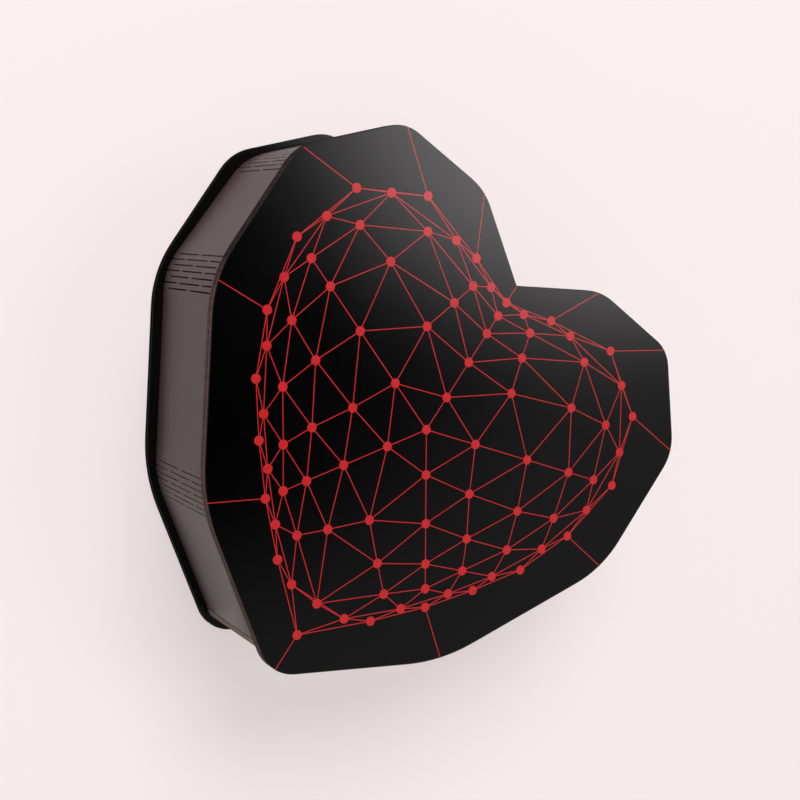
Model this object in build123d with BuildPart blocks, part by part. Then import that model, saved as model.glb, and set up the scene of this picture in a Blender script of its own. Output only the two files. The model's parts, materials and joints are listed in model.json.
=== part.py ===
from build123d import *
import math
import os

# A heart-shaped gift box of thin board, lying on its base with its lid up. X runs to the right of the heart's
# middle line, Y along that line from the tip towards the notch, Z up from the table. The origin is on the
# table, under the middle of the box.

# Driving dimensions in millimetres: corners of the right half of the outline, before rounding.
# "Out" is measured from the middle line, "up" along it from the tip, and "round" is the panels' radius there.
low_corner_out = 68.1
low_corner_up = 44.5
low_corner_round = 79.0
side_corner_out = 117.3
side_corner_up = 121.6
side_corner_round = 54.0
shoulder_corner_out = 118.1
shoulder_corner_up = 186.7
shoulder_corner_round = 23.0
crown_corner_out = 85.5
crown_corner_up = 223.6
crown_corner_round = 17.0
brow_corner_out = 38.2
brow_corner_up = 224.0
brow_corner_round = 27.0
notch_up = 200.0
tip_round = 17.0

# Boards
panel_board = 3.0
locator_board = 3.0
wall_board = 3.0
wall_width = 72.0

# How far the panels stand out past the walls: along the two flanks at the tip, along the sides above them,
# and round the lobes as far as the notch. The right wall lies further in along its flank, so the corner of
# the walls at the tip is a little left of the middle line.
right_flank_overhang = 7.6
left_flank_overhang = 3.8
side_overhang = 4.7
lobe_overhang = 3.3

# How far the walls' shoulders lie towards the crown from where those overhangs would put them
shoulder_shift = 4.0

# Gaps of the walls: to the base's locator, which is glued in, to the lid's, a push fit, and between the two
# walls where they meet at the tip
glue_gap = 0.1
lid_clearance = 0.3
tip_gap = 0.4

# Slits that let a wall strip bend: rows across the strip, each row shifted against the last. The pattern lies
# a little below the strip's middle.
slit_width = 0.6
slit_margin = 8.0
slit_bridge = 3.0
slit_drop = 3.0
slit_row_pitch = 2.6
slit_rows = 7

# The outline, once round from the tip
shoulder_corner = Vector(shoulder_corner_out, shoulder_corner_up)
crown_corner = Vector(crown_corner_out, crown_corner_up)
right_corners = [
    Vector(low_corner_out, low_corner_up),
    Vector(side_corner_out, side_corner_up),
    shoulder_corner,
    crown_corner,
    Vector(brow_corner_out, brow_corner_up),
]
panel_radii = [
    low_corner_round,
    side_corner_round,
    shoulder_corner_round,
    crown_corner_round,
    brow_corner_round,
]
left_corners = [Vector(-corner.X, corner.Y) for corner in reversed(right_corners)]
tip = Vector(0, 0)
notch = Vector(0, notch_up)
outline = [tip, *right_corners, notch, *left_corners]

# The panels' overhang along each side of the outline, which runs from its corner to the next one
low_corner_to_notch = [side_overhang, lobe_overhang, lobe_overhang, lobe_overhang, lobe_overhang]
overhangs = [right_flank_overhang, *low_corner_to_notch, *reversed(low_corner_to_notch), left_flank_overhang]

# Places of two corners in the outline, counted from the tip up either half
shoulder_place = outline.index(shoulder_corner)
crown_place = outline.index(crown_corner)

# Heights above the table
base_top = panel_board
wall_top = base_top + wall_width
backing_top = wall_top + panel_board

# A closed row has two slits between uncut margins. An open row has one in the middle and two that run out
# through the strip's edges.
slit_length = (wall_width - slit_bridge) / 2 - slit_margin
slit_pitch = slit_length + slit_bridge
closed_row = (-slit_pitch / 2, slit_pitch / 2)
open_row = (-slit_pitch, 0, slit_pitch)
slit_depth = 2 * wall_board
pattern_height = base_top + wall_width / 2 - slit_drop


def sides_of(corners):
    """The sides of a closed line, each from its corner to the next one."""
    return [after - corner for corner, after in zip(corners, [*corners[1:], corners[0]])]


def inset(corners, depths):
    """The corners of a closed line inside another, at a depth from each of its sides."""
    ways = [side.normalized() for side in sides_of(corners)]
    inner_corners = []
    for index, corner in enumerate(corners):
        before = ways[index - 1]
        after = ways[index]
        inwards = after * depths[index - 1] - before * depths[index]
        inner_corners.append(corner + inwards / before.cross(after).Z)
    return inner_corners


# The walls' outer line, once round from its sharp tip
wall_outline = inset(outline, overhangs)
for shoulder, crown in ((shoulder_place, crown_place), (-shoulder_place, -crown_place)):
    towards_crown = (wall_outline[crown] - wall_outline[shoulder]).normalized()
    wall_outline[shoulder] += towards_crown * shoulder_shift

# A strip bends evenly over its rows of slits, so a sharper corner has a smaller radius. The radius is that of
# the strip's middle.
bend_length = slit_rows * slit_row_pitch
right_sides = sides_of(wall_outline)[: len(right_corners) + 1]
turns = [math.radians(before.get_angle(after)) for before, after in zip(right_sides, right_sides[1:])]
bend_radii = [bend_length / turn for turn in turns]
strip_middle = wall_board / 2


def heart_face(corners, right_radii, tip_radius=0):
    """A heart through its corners, once round from the tip, with the same radii on both its halves."""
    radii = [tip_radius, *right_radii, 0, *reversed(right_radii)]
    with BuildSketch() as face:
        with BuildLine():
            Polyline(*corners, close=True)
        make_face()
        for corner, radius in zip(corners, radii):
            if radius > 0:
                fillet(face.vertices().sort_by_distance(corner)[0], radius)
    return face.sketch


def wall_corners(depth):
    """The corners of a line along the walls, at a depth from their outer faces."""
    return inset(wall_outline, [depth] * len(wall_outline))


def wall_face(depth):
    """What lies inside a line along the walls, which have a sharp tip and their own bends."""
    return heart_face(wall_corners(depth), [radius + strip_middle - depth for radius in bend_radii])


panel_face = heart_face(outline, panel_radii, tip_round)
heart_middle = panel_face.bounding_box().center()
table = Plane((0, -heart_middle.Y, 0))


def slit_places(side):
    """The middle of each slit in the strip on one side of the heart: 1 is right, -1 is left."""
    all_bends = wall_face(strip_middle).edges().filter_by(GeomType.CIRCLE)
    bends = [bend for bend in all_bends if bend.center().X * side > 0]
    places = []
    for bend in bends:
        for row in range(slit_rows):
            share = (row + 0.5) / slit_rows
            across = Plane(bend.position_at(share), x_dir=bend.tangent_at(share), z_dir=(0, 0, 1))
            for height in open_row if row % 2 else closed_row:
                places.append(table.location * across.offset(pattern_height + height).location)
    return places


def right_share(depth):
    """The right wall's share: right of the middle line, and at the tip down from a line at a depth."""
    tip_corner = wall_corners(depth)[0]
    line_end = tip_corner - right_sides[0]
    share_right = side_corner_out + shoulder_corner_out
    share_top = crown_corner_up + brow_corner_up
    with BuildSketch() as share:
        with BuildLine():
            Polyline(
                (0, share_top),
                (0, low_corner_up),
                tip_corner,
                line_end,
                (share_right, line_end.Y),
                (share_right, share_top),
                close=True,
            )
        make_face()
    return share.sketch


# The bottom of the box
with BuildPart() as base_panel:
    with BuildSketch(table):
        add(panel_face)
    extrude(amount=panel_board)

# Board inside the walls, glued to the base panel
with BuildPart() as base_locator:
    with BuildSketch(table.offset(base_top)):
        add(wall_face(wall_board + glue_gap))
    extrude(amount=locator_board)

# The right strip, which runs through to the outside at the tip
with BuildPart() as right_wall:
    with BuildSketch(table.offset(base_top)):
        add(wall_face(0))
        add(wall_face(wall_board), mode=Mode.SUBTRACT)
        add(right_share(wall_board), mode=Mode.INTERSECT)
    extrude(amount=wall_width)
    with Locations(*slit_places(side=1)):
        Box(slit_width, slit_depth, slit_length, mode=Mode.SUBTRACT)

# The left strip, which ends just short of the right one at the tip
with BuildPart() as left_wall:
    with BuildSketch(table.offset(base_top)):
        add(wall_face(0))
        add(wall_face(wall_board), mode=Mode.SUBTRACT)
        add(right_share(wall_board + tip_gap), mode=Mode.SUBTRACT)
    extrude(amount=wall_width)
    with Locations(*slit_places(side=-1)):
        Box(slit_width, slit_depth, slit_length, mode=Mode.SUBTRACT)

# Board under the lid that pushes in between the walls
with BuildPart() as lid_locator:
    with BuildSketch(table.offset(wall_top - locator_board)):
        add(wall_face(wall_board + lid_clearance))
    extrude(amount=locator_board)

# Second layer of the lid, flush with the printed panel on it
with BuildPart() as lid_backing:
    with BuildSketch(table.offset(wall_top)):
        add(panel_face)
    extrude(amount=panel_board)

# The printed top of the lid
with BuildPart() as lid_panel:
    with BuildSketch(table.offset(backing_top)):
        add(panel_face)
    extrude(amount=panel_board)

pieces = {
    "base_panel": base_panel,
    "base_locator": base_locator,
    "right_wall": right_wall,
    "left_wall": left_wall,
    "lid_locator": lid_locator,
    "lid_backing": lid_backing,
    "lid_panel": lid_panel,
}
os.makedirs("parts", exist_ok=True)
for name, piece in pieces.items():
    piece.part.label = name
    export_step(piece.part, f"parts/{name}.step")
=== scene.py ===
# %% [markdown]
# # A heart-shaped gift box
# The box is glued up from thin fibreboard. Its lid and base have a black satin film, and a red net of dots
# and lines is printed on the lid. Two strips with a duller brown-grey film, slit so that they bend, make the
# walls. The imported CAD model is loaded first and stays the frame: every mesh made below sits where its CAD
# node is, in metres, and rides on the same body.

import json
import math

import bmesh
import bpy
from mathutils import Matrix, Vector
from mathutils.bvhtree import BVHTree

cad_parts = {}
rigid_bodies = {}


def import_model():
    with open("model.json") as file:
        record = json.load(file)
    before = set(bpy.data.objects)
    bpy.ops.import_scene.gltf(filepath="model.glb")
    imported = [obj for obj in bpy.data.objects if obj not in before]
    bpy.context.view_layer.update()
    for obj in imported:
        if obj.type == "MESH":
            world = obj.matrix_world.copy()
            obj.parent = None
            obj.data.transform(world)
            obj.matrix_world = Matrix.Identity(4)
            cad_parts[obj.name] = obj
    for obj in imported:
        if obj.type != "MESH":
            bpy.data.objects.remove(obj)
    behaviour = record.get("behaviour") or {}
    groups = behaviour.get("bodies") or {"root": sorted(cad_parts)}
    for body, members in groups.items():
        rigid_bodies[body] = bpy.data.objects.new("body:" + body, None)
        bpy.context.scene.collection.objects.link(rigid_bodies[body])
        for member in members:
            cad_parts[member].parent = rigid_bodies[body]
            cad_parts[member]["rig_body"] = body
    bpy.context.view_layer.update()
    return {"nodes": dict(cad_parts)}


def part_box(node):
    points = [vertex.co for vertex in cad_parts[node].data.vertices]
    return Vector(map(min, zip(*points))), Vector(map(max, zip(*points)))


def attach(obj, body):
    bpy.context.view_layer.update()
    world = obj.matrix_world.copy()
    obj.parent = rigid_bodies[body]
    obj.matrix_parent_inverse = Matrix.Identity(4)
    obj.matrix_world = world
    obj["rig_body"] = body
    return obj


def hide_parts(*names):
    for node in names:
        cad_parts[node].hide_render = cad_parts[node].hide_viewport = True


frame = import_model()
bpy.context.scene.view_settings.view_transform = "Standard"
print("CAD nodes:", sorted(frame["nodes"]))

# %% [markdown]
# ## The camera
# A camera can be aimed with a constraint or with three angles. Here it gets its three axes directly, because
# the photograph fixes them: where it looks, which way is up in the picture, and where it stands. The box lies
# on its base, and the camera looks down on the lid from the left of the heart's tip.

# %% Camera
camera_place = Vector((-0.2937, -0.0935, 0.6457))
camera_looks = Vector((0.4320, 0.1683, -0.8861)).normalized()
picture_up = Vector((-0.5446, 0.8318, -0.1075))
camera_lens_mm = 67.03

camera_data = bpy.data.cameras.new("camera")
camera_data.lens = camera_lens_mm
camera = bpy.data.objects.new("camera", camera_data)
picture_right = camera_looks.cross(picture_up).normalized()
camera_axes = Matrix((picture_right, picture_right.cross(camera_looks), -camera_looks)).transposed()
camera.matrix_world = Matrix.Translation(camera_place) @ camera_axes.to_4x4()
bpy.context.scene.collection.objects.link(camera)
bpy.context.scene.camera = camera
print("camera looks along", [round(part, 3) for part in camera_looks])

# %% [markdown]
# ## Sums and nodes
# A material is a graph of nodes. Wiring each Math node by hand hides the sum that it stands for, so a small
# class wraps a socket and lets Python's own operators add the Math nodes. Every other node comes from one
# function, which sets the node's settings first and then its sockets. Geometry trees use the same pair.

# %% Sums on sockets
class Signal:
    """A socket that can be used in a sum. The sum adds its Math nodes to the socket's tree."""

    def __init__(self, tree, socket):
        self.tree = tree
        self.socket = socket

    def math(self, operation, first, second):
        return add_node(self.tree, "ShaderNodeMath", {"operation": operation}, {0: first, 1: second})

    def __add__(self, other):
        return self.math("ADD", self, other)

    def __radd__(self, other):
        return self.math("ADD", other, self)

    def __sub__(self, other):
        return self.math("SUBTRACT", self, other)

    def __rsub__(self, other):
        return self.math("SUBTRACT", other, self)

    def __mul__(self, other):
        return self.math("MULTIPLY", self, other)

    def __rmul__(self, other):
        return self.math("MULTIPLY", other, self)

    def __lt__(self, other):
        return self.math("LESS_THAN", self, other)

    def __gt__(self, other):
        return self.math("GREATER_THAN", self, other)


# %% Nodes
def feed(tree, node, sockets):
    """Give each named socket of a node its value, its link, or all its links where it takes several."""
    for name, value in sockets.items():
        socket = node.inputs[name]
        if isinstance(value, Signal):
            tree.links.new(value.socket, socket)
        elif socket.is_multi_input:
            for signal in value:
                tree.links.new(signal.socket, socket)
        else:
            socket.default_value = value


def add_node(tree, kind, settings, sockets, output=0):
    """Add a node with its settings and the values or links of its sockets. Gives one of its outputs."""
    node = tree.nodes.new(kind)
    for name, value in settings.items():
        setattr(node, name, value)
    feed(tree, node, sockets)
    return Signal(tree, node.outputs[output])


# %% [markdown]
# ## What the finishes share
# Each finish below is a Principled shader whose colour comes from noise. All but the floor take their
# roughness from noise too, and all but the ink and the floor have a fine bump. A picture of the board could be
# wrapped round the pieces instead, but it would stretch on the edges. Noise on Object coordinates, in metres,
# has the same fineness on every face.

# %% Helpers for finishes
OPAQUE = 1
EVEN = (1, 1, 1)

# A Mix node has sockets of the same names for numbers, vectors and colours, so those for colours are counted.
MIX_FACTOR = 0
MIX_A = 6
MIX_B = 7
MIX_RESULT = 2


def new_finish(name):
    """A new material with its node tree and its Principled shader."""
    material = bpy.data.materials.new(name)
    material.use_nodes = True
    return material, material.node_tree, material.node_tree.nodes["Principled BSDF"]


def noise(tree, cells_per_metre, stretch=EVEN, detail=2):
    """Noise on the piece's own place, from 0 to 1. Stretch makes its cells longer along an axis."""
    place = add_node(tree, "ShaderNodeTexCoord", {}, {}, output="Object")
    scale = [cells_per_metre / part for part in stretch]
    mapped = add_node(tree, "ShaderNodeMapping", {}, {"Vector": place, "Scale": scale})
    return add_node(tree, "ShaderNodeTexNoise", {}, {"Vector": mapped, "Scale": 1, "Detail": detail})


def between(tree, factor, dark, light):
    """A colour between two others, each of which is three numbers or a Signal."""
    pair = [colour if isinstance(colour, Signal) else (*colour, OPAQUE) for colour in (dark, light)]
    sockets = {MIX_FACTOR: factor, MIX_A: pair[0], MIX_B: pair[1]}
    return add_node(tree, "ShaderNodeMix", {"data_type": "RGBA"}, sockets, output=MIX_RESULT)


def soft_step(tree, value, start, end):
    """0 up to a start and 1 from an end on, with a smooth rise between them."""
    sockets = {"Value": value, "From Min": start, "From Max": end}
    return add_node(tree, "ShaderNodeMapRange", {"interpolation_type": "SMOOTHSTEP"}, sockets)


def bump(tree, height, depth):
    """A height pattern that tilts the light on a surface. Depth is in metres."""
    return add_node(tree, "ShaderNodeBump", {}, {"Height": height, "Distance": depth})


# %% [markdown]
# ## The satin films
# The film on the lid and the base is nearly without colour, so what the eye sees on it is its gloss: broad
# soft reflections, a little uneven. The film on the walls is a duller brown-grey. The unevenness could be
# modelled in the mesh, but it is far too fine for that, so a cloudy noise and a fine grain change the gloss.
# One function makes both films.

# %% Satin films
gloss_change = 0.04
grain_depth = 0.00001


def satin_film(name, dark, light, roughness, mirror):
    material, tree, shader = new_finish(name)
    cloudy = noise(tree, cells_per_metre=35)
    grain = noise(tree, cells_per_metre=2500)
    sockets = {
        "Base Color": between(tree, cloudy, dark, light),
        "Roughness": cloudy * gloss_change + grain * gloss_change + roughness,
        "Specular IOR Level": mirror,
        "Normal": bump(tree, grain, grain_depth),
    }
    feed(tree, shader, sockets)
    return material


film = satin_film(
    "black_satin_film",
    dark=(0.0001, 0.0001, 0.0001),
    light=(0.0004, 0.0003, 0.0003),
    roughness=0.08,
    mirror=0.5,
)
wall_film = satin_film(
    "brown_black_wall_film",
    dark=(0.057, 0.036, 0.038),
    light=(0.073, 0.047, 0.049),
    roughness=0.40,
    mirror=0.2,
)
print("films:", film.name, "and", wall_film.name)

# %% [markdown]
# ## The cut edges
# A laser burns its way through the board, so a cut edge is brown and matt, with scorch marks that run from
# face to face. The marks could be painted one by one. Noise stretched along the board's thickness gives them
# at once. A soft step along the heart adds painted shade to the edges, darker towards the notch and paler
# towards the tip. The four edges differ only in their colours: the base's is scorched black, and that of the
# walls is the palest.

# %% Laser-cut edges
# Painted shade: where along the heart the cut edges start to darken towards the notch, over what length, and
# by how much.
painted_shade_from = -0.005
painted_shade_fade = 0.030
painted_shade_share = 0.5
scorch_share = 0.7
fibre_share = 0.3
edge_mirror = 0
edge_roughness = 0.7
edge_roughness_change = 0.15
scorch_depth = 0.00005
along_thickness = (1, 1, 12)


def cut_edge(name, dark, light):
    material, tree, shader = new_finish(name)
    scorch = noise(tree, cells_per_metre=700, stretch=along_thickness)
    fibres = noise(tree, cells_per_metre=3000)
    place = add_node(tree, "ShaderNodeTexCoord", {}, {}, output="Object")
    towards_notch = add_node(tree, "ShaderNodeSeparateXYZ", {}, {0: place}, output="Y")
    # Painted shade: a soft step along the heart darkens the cut edges towards the notch.
    painted_shade = soft_step(tree, towards_notch, painted_shade_from, painted_shade_from + painted_shade_fade)
    paleness = scorch * scorch_share + fibres * fibre_share - painted_shade * painted_shade_share
    sockets = {
        "Base Color": between(tree, paleness, dark, light),
        "Roughness": fibres * edge_roughness_change + edge_roughness,
        "Specular IOR Level": edge_mirror,
        "Normal": bump(tree, scorch, scorch_depth),
    }
    feed(tree, shader, sockets)
    return material


pale_cut = cut_edge("pale_cut_edge", (0.026, 0.0165, 0.0155), (0.190, 0.127, 0.119))
red_cut = cut_edge("reddish_cut_edge", (0.024, 0.0150, 0.0140), (0.175, 0.113, 0.106))
wall_cut = cut_edge("wall_cut_edge", (0.100, 0.072, 0.064), (0.340, 0.262, 0.240))
black_cut = cut_edge("scorched_cut_edge", (0.002, 0.0015, 0.0015), (0.010, 0.006, 0.005))
print("cut edges:", [edge.name for edge in (pale_cut, red_cut, wall_cut, black_cut)])

# %% [markdown]
# ## The bare board
# Inside the box the board has no film: pressed brown fibre, flecked and a little rough. Strands of hair could
# stand for the fibres, but they lie flat and are too short to see one by one, so a noise with more detail
# makes the flecks, in colour, roughness and bump alike.

# %% Bare fibreboard
fleck_share = 0.7
cloud_share = 0.3
fibre_dark = (0.14, 0.075, 0.038)
fibre_light = (0.30, 0.18, 0.10)
fibre_roughness = 0.65
fibre_roughness_change = 0.2
fleck_depth = 0.00006

fibre, fibre_tree, fibre_shader = new_finish("bare_fibreboard")
flecks = noise(fibre_tree, cells_per_metre=1400, detail=4)
fibre_clouds = noise(fibre_tree, cells_per_metre=60)
fibre_shade = flecks * fleck_share + fibre_clouds * cloud_share
fibre_sockets = {
    "Base Color": between(fibre_tree, fibre_shade, fibre_dark, fibre_light),
    "Roughness": flecks * fibre_roughness_change + fibre_roughness,
    "Normal": bump(fibre_tree, flecks, fleck_depth),
}
feed(fibre_tree, fibre_shader, fibre_sockets)
print("bare board:", fibre.name)

# %% [markdown]
# ## The ink
# The print is a flat red with the gloss of the film under it. It could be a single colour, but real ink lies
# a little thicker in some places, so a soft noise moves it between two close reds.

# %% Red ink
ink_dark = (0.45, 0.016, 0.019)
ink_light = (0.53, 0.022, 0.026)
ink_roughness = 0.12
ink_roughness_change = 0.06

ink, ink_tree, ink_shader = new_finish("red_printing_ink")
ink_clouds = noise(ink_tree, cells_per_metre=120)
ink_sockets = {
    "Base Color": between(ink_tree, ink_clouds, ink_dark, ink_light),
    "Roughness": ink_clouds * ink_roughness_change + ink_roughness,
}
feed(ink_tree, ink_shader, ink_sockets)
print("ink:", ink.name)

# %% [markdown]
# ## Clean copies of the boards
# A CAD node's mesh is loose triangles with one material. A copy with its triangles merged can have its sharp
# edges broken by a small chamfer, which catches the light as a real cut edge does, and can have one finish
# on its faces and another on its cut edges. The copy then stands for the node.

# %% Helpers for boards
merge_gap = 0.000001
flat_angle = math.radians(0.5)
sharp_angle = math.radians(35)


def clean_copy(node):
    """A CAD node's mesh as an editable one, with its triangles merged into whole faces."""
    data = frame["nodes"][node].data
    plain = bpy.data.meshes.new("plain")
    plain.from_pydata([vertex.co for vertex in data.vertices], [], [face.vertices for face in data.polygons])
    mesh = bmesh.new()
    mesh.from_mesh(plain)
    bpy.data.meshes.remove(plain)
    bmesh.ops.remove_doubles(mesh, verts=mesh.verts, dist=merge_gap)
    bmesh.ops.dissolve_limit(mesh, angle_limit=flat_angle, verts=mesh.verts, edges=mesh.edges)
    return mesh


def board(node, name, finishes, finish_of, chamfer):
    """A piece that stands for a CAD node: its clean copy with broken edges and a finish for each face."""
    mesh = clean_copy(node)
    sharp = [edge for edge in mesh.edges if edge.calc_face_angle(0) > sharp_angle]
    bmesh.ops.bevel(mesh, geom=sharp, offset=chamfer, segments=1, affect="EDGES", clamp_overlap=False)
    mesh.normal_update()
    for face in mesh.faces:
        face.material_index = finish_of(face)
        face.smooth = True
    data = bpy.data.meshes.new(name)
    mesh.to_mesh(data)
    mesh.free()
    data.set_sharp_from_angle(angle=sharp_angle)
    for finish in finishes:
        data.materials.append(finish)
    piece = bpy.data.objects.new(name, data)
    bpy.context.scene.collection.objects.link(piece)
    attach(piece, frame["nodes"][node]["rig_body"])
    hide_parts(node)
    print(name, "has", len(data.polygons), "faces")
    return piece


# %% [markdown]
# ## The panels and their locators
# The lid is two flat boards glued together, the base is one, and each has a smaller board on its inside that
# fits between the walls. All five have two flat faces and one cut edge, so the way a face looks is enough to
# tell its finish. The chamfers count as faces, which keeps the film's shine on the rim.

# %% Panels and locators
FACE_SIDE = 0
EDGE_SIDE = 1
flat_face_tilt = 0.5
panel_chamfer = 0.0003


def face_or_edge(face):
    return FACE_SIDE if abs(face.normal.z) > flat_face_tilt else EDGE_SIDE


def flat_board(node, name, face_finish, edge_finish):
    return board(node, name, [face_finish, edge_finish], face_or_edge, panel_chamfer)


lid_board = flat_board("lid_panel", "lid_printed_board", film, pale_cut)
flat_board("lid_backing", "lid_backing_board", film, red_cut)
flat_board("base_panel", "base_board", film, black_cut)
flat_board("lid_locator", "lid_locating_board", fibre, pale_cut)
flat_board("base_locator", "base_locating_board", fibre, pale_cut)

# %% [markdown]
# ## The slit walls
# Only the outside of a wall strip has the brown-grey film. Its inside is bare, and its slits, ends and long
# edges show cut board. The copy of a strip has hundreds of faces, so each finds its own finish: a point a
# little way out from an outside face is beyond the base panel, and one from an inside face is over the board
# that lies between the walls. What is left is a slit, an end or a long edge.

# %% Which side of a wall a face is on
FILM_SIDE = 0
BARE_SIDE = 1
CUT_SIDE = 2
look_out = 0.009
look_down_from = 1.0
straight_down = Vector((0, 0, -1))
end_tilt = 0.3


def plan_of(node):
    """A CAD node as something that can be looked down on."""
    data = frame["nodes"][node].data
    places = [vertex.co for vertex in data.vertices]
    return BVHTree.FromPolygons(places, [face.vertices for face in data.polygons])


def is_over(plan, point):
    above = Vector((point.x, point.y, look_down_from))
    return plan.ray_cast(above, straight_down)[0] is not None


base_plan = plan_of("base_panel")
inside_plan = plan_of("base_locator")


def wall_side(face):
    beyond = face.calc_center_median() + face.normal * look_out
    if is_over(inside_plan, beyond):
        return BARE_SIDE
    if is_over(base_plan, beyond) or abs(face.normal.z) > flat_face_tilt:
        return CUT_SIDE
    return FILM_SIDE


def right_wall_side(face):
    """The right strip runs through at the tip, and its end there looks left and towards the tip."""
    if face.normal.x < -end_tilt and face.normal.y < -end_tilt:
        return CUT_SIDE
    return wall_side(face)


# %% Walls
wall_chamfer = 0.00008
wall_finishes = [wall_film, fibre, wall_cut]
board("left_wall", "left_wall_strip", wall_finishes, wall_side, wall_chamfer)
board("right_wall", "right_wall_strip", wall_finishes, right_wall_side, wall_chamfer)

# %% [markdown]
# ## The printed net
# The print is a heart-shaped net of dots and lines that looks like a dome seen from above, with a line from
# its rim to each corner of the lid. It could be drawn dot by dot. A rule is shorter and gives the dome for
# nothing: half of an icosphere, seen from its pole, already is such a net, with its rows closer together
# towards the rim. Each of its points keeps its direction from the middle, and its distance is stretched to a
# heart-shaped rim, which is a smooth line inside the twelve corners of the outline.

# %% The outline's corners
right_corners = ((0.0681, 0.0445), (0.1173, 0.1216), (0.1181, 0.1867), (0.0855, 0.2236), (0.0382, 0.2240))
tip_corner = (0, 0)
notch_corner = (0, 0.2000)
net_middle_up = 0.1240
corner_margin = 0.0270
tip_margin = 0.0205
notch_margin = 0.0090

lid_low, lid_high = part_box("lid_panel")
outline_high = max(up for out, up in right_corners)
up_to_frame = lid_high.y - outline_high
left_corners = [(-out, up) for out, up in reversed(right_corners)]
corners = [tip_corner, *right_corners, notch_corner, *left_corners]
margins = [corner_margin] * len(corners)
margins[corners.index(tip_corner)] = tip_margin
margins[corners.index(notch_corner)] = notch_margin

outline_mesh = bpy.data.meshes.new("outline")
corner_places = [(out, up + up_to_frame, lid_high.z) for out, up in corners]
corner_links = [(number, (number + 1) % len(corners)) for number in range(len(corners))]
outline_mesh.from_pydata(corner_places, corner_links, [])
margin_values = outline_mesh.attributes.new("rim_margin", "FLOAT", "POINT")
margin_values.data.foreach_set("value", margins)
outline = bpy.data.objects.new("outline", outline_mesh)
bpy.context.scene.collection.objects.link(outline)
net_middle = Vector((0, net_middle_up + up_to_frame, lid_high.z))
print("outline of", len(corners), "corners")

# %% A tree with named inputs
def new_tree(name, inputs):
    """A geometry tree with the named inputs, each of them as a Signal, and the identifiers to set them by."""
    tree = bpy.data.node_groups.new(name, "GeometryNodeTree")
    for title, kind in inputs.items():
        tree.interface.new_socket(title, in_out="INPUT", socket_type=kind)
    tree.interface.new_socket("Geometry", in_out="OUTPUT", socket_type="NodeSocketGeometry")
    source = tree.nodes.new("NodeGroupInput")
    signals = {title: Signal(tree, source.outputs[title]) for title in inputs}
    items = tree.interface.items_tree
    identifiers = {item.name: item.identifier for item in items if item.in_out == "INPUT"}
    return tree, signals, identifiers


net_tree, net_in, net_ids = new_tree(
    "printed_net",
    {
        "Outline": "NodeSocketGeometry",
        "Middle": "NodeSocketVector",
        "Fineness": "NodeSocketInt",
        "Dot diameter": "NodeSocketFloat",
        "Line width": "NodeSocketFloat",
        "Ink height": "NodeSocketFloat",
        "Panel": "NodeSocketObject",
        "Ink": "NodeSocketMaterial",
        "Seed": "NodeSocketInt",
    },
)
print("the net's inputs:", list(net_in))

# %% Helpers for the net
ray_length = 1.0


def vectors(tree, operation, *values, output=0):
    """A Vector Math node on vectors, or on a vector and a scale."""
    sockets = dict(enumerate(values))
    if operation == "SCALE":
        sockets = {0: values[0], "Scale": values[1]}
    return add_node(tree, "ShaderNodeVectorMath", {"operation": operation}, sockets, output)


def net_node(kind, settings, sockets, output=0):
    return add_node(net_tree, kind, settings, sockets, output)


def noted(geometry, domain, kind, name, value):
    """A geometry with a value noted under a name on each of its points or edges."""
    settings = {"data_type": kind, "domain": domain}
    sockets = {"Geometry": geometry, "Name": name, "Value": value}
    return net_node("GeometryNodeStoreNamedAttribute", settings, sockets)


def note(kind, name):
    """The value that was noted under a name."""
    return net_node("GeometryNodeInputNamedAttribute", {"data_type": kind}, {"Name": name})


def ray_hit(target, start, way):
    """Where a ray from a point first meets a geometry."""
    sockets = {
        "Target Geometry": target,
        "Source Position": start,
        "Ray Direction": way,
        "Ray Length": ray_length,
    }
    return net_node("GeometryNodeRaycast", {}, sockets, output="Hit Position")


def joined(*geometries):
    return net_node("GeometryNodeJoinGeometry", {}, {"Geometry": geometries})


position = net_node("GeometryNodeInputPosition", {}, {})

# %% The rim
rim_steps = 16
rim_wall_height = 0.02
margin_slack = 0.000001

inward = vectors(net_tree, "SUBTRACT", net_in["Middle"], position)
inward = vectors(net_tree, "NORMALIZE", inward)
margin = note("FLOAT", "rim_margin")
rim_step = vectors(net_tree, "SCALE", inward, margin)
rim_points = net_node("GeometryNodeSetPosition", {}, {"Geometry": net_in["Outline"], "Offset": rim_step})
rim_line = net_node("GeometryNodeMeshToCurve", {}, {"Mesh": rim_points})
rim_line = net_node("GeometryNodeCurveSplineType", {"spline_type": "BEZIER"}, {"Curve": rim_line})
rounded = {"Curve": rim_line, "Selection": margin > corner_margin - margin_slack}
rim_line = net_node("GeometryNodeCurveSetHandles", {"handle_type": "AUTO"}, rounded)
rim_line = net_node("GeometryNodeSetSplineResolution", {}, {"Geometry": rim_line, "Resolution": rim_steps})
rim_line = net_node("GeometryNodeCurveToMesh", {}, {"Curve": rim_line})
rim_foot = (0, 0, -rim_wall_height / 2)
rim_line = net_node("GeometryNodeSetPosition", {}, {"Geometry": rim_line, "Offset": rim_foot})
# Without a link, Extrude Mesh would follow the line's own normals, so the way up comes from a node.
rise = net_node("ShaderNodeCombineXYZ", {}, {"Z": rim_wall_height})
raised = {"Mesh": rim_line, "Offset": rise, "Offset Scale": 1}
rim_wall = net_node("GeometryNodeExtrudeMesh", {"mode": "EDGES"}, raised)
print("nodes up to the rim:", len(net_tree.nodes))

# %% The dome, pressed flat
quarter_turn = (0, 0, math.radians(90))
pressed_flat = (1, 1, 0)
below_rim = -0.01

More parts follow.
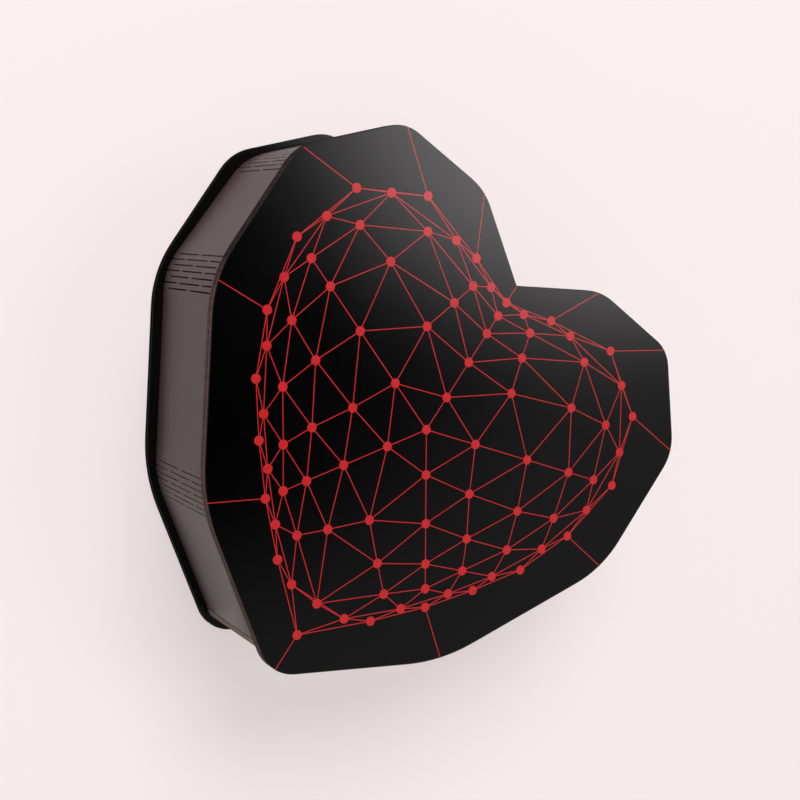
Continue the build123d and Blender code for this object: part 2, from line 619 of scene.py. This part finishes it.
dome = net_node("GeometryNodeMeshIcoSphere", {}, {"Radius": 1, "Subdivisions": net_in["Fineness"]})
dome = net_node("GeometryNodeTransform", {}, {"Geometry": dome, "Rotation": quarter_turn})
height = net_node("ShaderNodeSeparateXYZ", {}, {0: position}, output="Z")
lower_half = {"Geometry": dome, "Selection": height < below_rim}
dome = net_node("GeometryNodeDeleteGeometry", {"domain": "POINT"}, lower_half)
flat = vectors(net_tree, "MULTIPLY", position, pressed_flat)
reach = vectors(net_tree, "LENGTH", flat, output="Value")
dome = noted(dome, "POINT", "FLOAT", "reach", reach)
rim_hit = ray_hit(rim_wall, net_in["Middle"], flat)
to_rim = vectors(net_tree, "SUBTRACT", rim_hit, net_in["Middle"])
placed = vectors(net_tree, "ADD", net_in["Middle"], vectors(net_tree, "SCALE", to_rim, reach))
net = net_node("GeometryNodeSetPosition", {}, {"Geometry": dome, "Position": placed})
print("nodes up to the dome:", len(net_tree.nodes))

# %% Lines along the net's edges
edge_start = net_node("GeometryNodeInputMeshEdgeVertices", {}, {}, output="Position 1")
edge_end = net_node("GeometryNodeInputMeshEdgeVertices", {}, {}, output="Position 2")
edge_run = vectors(net_tree, "SUBTRACT", edge_end, edge_start)
net_edges = noted(net, "EDGE", "FLOAT_VECTOR", "run", edge_run)
edge_middles = net_node("GeometryNodeMeshToPoints", {"mode": "EDGES"}, {"Mesh": net_edges})
print("nodes up to the lines:", len(net_tree.nodes))

# %% Where the spokes start and end
rim_reach = 0.99
panel_depth = lid_high.z - lid_low.z
below_face = (0, 0, -panel_depth / 2)

on_rim = {"Geometry": net, "Selection": note("FLOAT", "reach") > rim_reach}
rim_dots = net_node("GeometryNodeSeparateGeometry", {"domain": "POINT"}, on_rim)
way_out = vectors(net_tree, "SUBTRACT", position, net_in["Middle"])
near_corner = {"Geometry": rim_dots, "Sample Position": ray_hit(rim_wall, net_in["Middle"], way_out)}
nearest = net_node("GeometryNodeSampleNearest", {"domain": "POINT"}, near_corner)
spoke_start = net_node(
    "GeometryNodeSampleIndex",
    {"data_type": "FLOAT_VECTOR", "domain": "POINT"},
    {"Geometry": rim_dots, "Value": position, "Index": nearest},
)
lid_shape = net_node("GeometryNodeObjectInfo", {}, {"Object": net_in["Panel"]}, output="Geometry")
inside_lid = vectors(net_tree, "ADD", spoke_start, below_face)
spoke_way = vectors(net_tree, "SUBTRACT", position, spoke_start)
spoke_end = vectors(net_tree, "SUBTRACT", ray_hit(lid_shape, inside_lid, spoke_way), below_face)
print("nodes up to the spokes' ends:", len(net_tree.nodes))

# %% Spokes from the rim to the corners
spoke_run = vectors(net_tree, "SUBTRACT", spoke_end, spoke_start)
spokes = noted(net_in["Outline"], "POINT", "FLOAT_VECTOR", "run", spoke_run)
both_ends = vectors(net_tree, "ADD", spoke_start, spoke_end)
at_middle = {"Mesh": spokes, "Position": vectors(net_tree, "SCALE", both_ends, 1 / 2)}
spoke_middles = net_node("GeometryNodeMeshToPoints", {"mode": "VERTICES"}, at_middle)
print("nodes up to the spokes:", len(net_tree.nodes))

# %% Bars for the lines
# A Random Value node has sockets of the same names for each kind of value, so those for numbers are counted.
RANDOM_LEAST = 2
RANDOM_MOST = 3
RANDOM_NUMBER = 1
thin_ink = 0.7
full_ink = 1.0

run = note("FLOAT_VECTOR", "run")
run_length = vectors(net_tree, "LENGTH", run, output="Value")
turned = net_node("FunctionNodeAlignRotationToVector", {"axis": "X"}, {"Vector": run})
ink_range = {RANDOM_LEAST: thin_ink, RANDOM_MOST: full_ink, "Seed": net_in["Seed"]}
uneven = net_node("FunctionNodeRandomValue", {"data_type": "FLOAT"}, ink_range, output=RANDOM_NUMBER)
bar_height = net_in["Ink height"] * uneven
bar_size = net_node(
    "ShaderNodeCombineXYZ", {}, {"X": run_length, "Y": net_in["Line width"], "Z": bar_height}
)
bar = net_node("GeometryNodeMeshCube", {}, {"Size": (1, 1, 1)})
line_middles = joined(edge_middles, spoke_middles)
bars = net_node(
    "GeometryNodeInstanceOnPoints",
    {},
    {"Points": line_middles, "Instance": bar, "Rotation": turned, "Scale": bar_size},
)
print("nodes up to the bars:", len(net_tree.nodes))

# %% Dots on the net's points
dot_sides = 24
dot_to_line_height = 1.5

dot_radius = net_in["Dot diameter"] * (1 / 2)
dot_depth = net_in["Ink height"] * dot_to_line_height
dot = net_node(
    "GeometryNodeMeshCylinder", {}, {"Vertices": dot_sides, "Radius": dot_radius, "Depth": dot_depth}
)
dots = net_node("GeometryNodeInstanceOnPoints", {}, {"Points": net, "Instance": dot})
printed = net_node("GeometryNodeRealizeInstances", {}, {"Geometry": joined(bars, dots)})
printed = net_node("GeometryNodeSetMaterial", {}, {"Geometry": printed, "Material": net_in["Ink"]})
feed(net_tree, net_tree.nodes.new("NodeGroupOutput"), {"Geometry": printed})
print("nodes of the whole net:", len(net_tree.nodes))

# %% The net as a mesh
net_sizes = {
    "Middle": net_middle,
    "Fineness": 3,
    "Dot diameter": 0.0042,
    "Line width": 0.00038,
    "Ink height": 0.00012,
    "Panel": lid_board,
    "Ink": ink,
    "Seed": 14,
}
modifier = outline.modifiers.new("printed_net", "NODES")
modifier.node_group = net_tree
for title, value in net_sizes.items():
    modifier[net_ids[title]] = value
depsgraph = bpy.context.evaluated_depsgraph_get()
net_mesh = bpy.data.meshes.new_from_object(outline.evaluated_get(depsgraph))
bpy.data.objects.remove(outline)
red_net = bpy.data.objects.new("red_printed_net", net_mesh)
bpy.context.scene.collection.objects.link(red_net)
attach(red_net, "lid")
print("printed net has", len(net_mesh.polygons), "faces and", len(net_mesh.materials), "material")

# %% [markdown]
# ## The floor
# The box lies in a pale studio. More lamps could make the floor as pale as that, but they would wash out the
# box. So a share of the floor is its own glow, which only the camera and mirrors see, and the rest takes
# light and the box's shadow as any surface does.

# %% The floor's finish
floor_dark = (0.905, 0.825, 0.817)
floor_light = (0.925, 0.845, 0.837)
floor_roughness = 0.9
floor_mirror = 0.1
glow_in_picture = 0.6
glow_in_mirror = 1.0


def glow_share(tree, in_picture, in_mirror):
    """How much of a surface is glow: one share in the picture, one in mirrors, none as light on others."""
    camera_ray = add_node(tree, "ShaderNodeLightPath", {}, {}, output="Is Camera Ray")
    mirrored_ray = add_node(tree, "ShaderNodeLightPath", {}, {}, output="Is Glossy Ray")
    passed_ray = add_node(tree, "ShaderNodeLightPath", {}, {}, output="Is Transmission Ray")
    mirror_rays = mirrored_ray.math("MAXIMUM", mirrored_ray, passed_ray)
    return camera_ray.math("MAXIMUM", camera_ray * in_picture, mirror_rays * in_mirror)


floor_material, floor_tree, floor_shader = new_finish("pale_floor")
floor_clouds = noise(floor_tree, cells_per_metre=3)
floor_colour = between(floor_tree, floor_clouds, floor_dark, floor_light)
floor_sockets = {
    "Base Color": floor_colour,
    "Roughness": floor_roughness,
    "Specular IOR Level": floor_mirror,
}
feed(floor_tree, floor_shader, floor_sockets)
lit_floor = Signal(floor_tree, floor_shader.outputs["BSDF"])
pale_light = add_node(floor_tree, "ShaderNodeEmission", {}, {"Color": floor_colour, "Strength": 1})
floor_glow = glow_share(floor_tree, glow_in_picture, glow_in_mirror)
floor_look = add_node(floor_tree, "ShaderNodeMixShader", {}, {0: floor_glow, 1: lit_floor, 2: pale_light})
feed(floor_tree, floor_tree.nodes["Material Output"], {"Surface": floor_look})
print("floor finish:", floor_material.name)

# %% Floor
floor_size = 60.0
floor_drop = 0.0002

half = floor_size / 2
floor_corners = [(-half, -half), (half, -half), (half, half), (-half, half)]
floor_mesh = bpy.data.meshes.new("floor")
floor_mesh.from_pydata([(*corner, -floor_drop) for corner in floor_corners], [], [(0, 1, 2, 3)])
floor_mesh.materials.append(floor_material)
floor = bpy.data.objects.new("floor", floor_mesh)
bpy.context.scene.collection.objects.link(floor)
print("floor of", floor_size, "m")

# %% [markdown]
# ## The sky
# The black film is a mirror of sorts, so what shows on the lid is whatever the camera sees in it. A dark
# cloth over the box would keep it black, as in a studio. Here the sky itself is pale all round, but grey and
# then dark in a round patch that the lid mirrors. One bright soft patch beside it leaves the grey sheen on
# the lobe at the top of the picture.

# %% Sky
sky_pale = (0.50, 0.468, 0.464)
sky_grey = (0.26, 0.244, 0.242)
sky_dark = (0.002, 0.002, 0.002)
sky_sheen = (3.95, 3.8, 3.82)
dark_way = Vector((0.162, 0.199, 0.967)).normalized()
sheen_way = Vector((0.377, 0.446, 0.812)).normalized()
grey_edge = math.radians(40)
dark_edge = math.radians(22)
dark_core = math.radians(15)
sheen_edge = math.radians(14)
sheen_core = math.radians(5)

world = bpy.data.worlds.new("studio")
world.use_nodes = True
bpy.context.scene.world = world
sky_tree = world.node_tree
sky_way = add_node(sky_tree, "ShaderNodeTexCoord", {}, {}, output="Generated")


def patch_share(towards, edge, core):
    """How far a direction lies in a round soft patch of the sky: 0 beyond its edge, 1 in its core."""
    nearness = vectors(sky_tree, "DOT_PRODUCT", sky_way, towards, output="Value")
    return soft_step(sky_tree, nearness, math.cos(edge), math.cos(core))


sky_colour = between(sky_tree, patch_share(dark_way, grey_edge, dark_edge), sky_pale, sky_grey)
sky_colour = between(sky_tree, patch_share(dark_way, dark_edge, dark_core), sky_colour, sky_dark)
sky_colour = between(sky_tree, patch_share(sheen_way, sheen_edge, sheen_core), sky_colour, sky_sheen)
feed(sky_tree, sky_tree.nodes["Background"], {"Color": sky_colour})
print("sky dark towards", [round(part, 2) for part in dark_way])

# %% [markdown]
# ## The lamp
# One large soft lamp high behind the heart's left lobe lights the walls and lays the box's soft shadow on the
# floor. A small one would give a hard shadow. It is hidden from mirrors, because the film would show its
# square.

# %% Lamp
lamp_way = Vector((-0.42, 0.50, 0.76)).normalized()
lamp_distance = 3.2
lamp_size = 1.6
watts_per_square_metre = 32.8

lamp_data = bpy.data.lights.new("high_lamp", "AREA")
lamp_data.size = lamp_size
lamp_data.energy = watts_per_square_metre * lamp_size**2
lamp = bpy.data.objects.new("high_lamp", lamp_data)
lamp.location = lamp_way * lamp_distance
lamp.rotation_euler = lamp_way.to_track_quat("Z", "Y").to_euler()
lamp.visible_glossy = False
bpy.context.scene.collection.objects.link(lamp)
print("lamp at", [round(part, 2) for part in lamp.location], "with", round(lamp_data.energy, 1), "W")
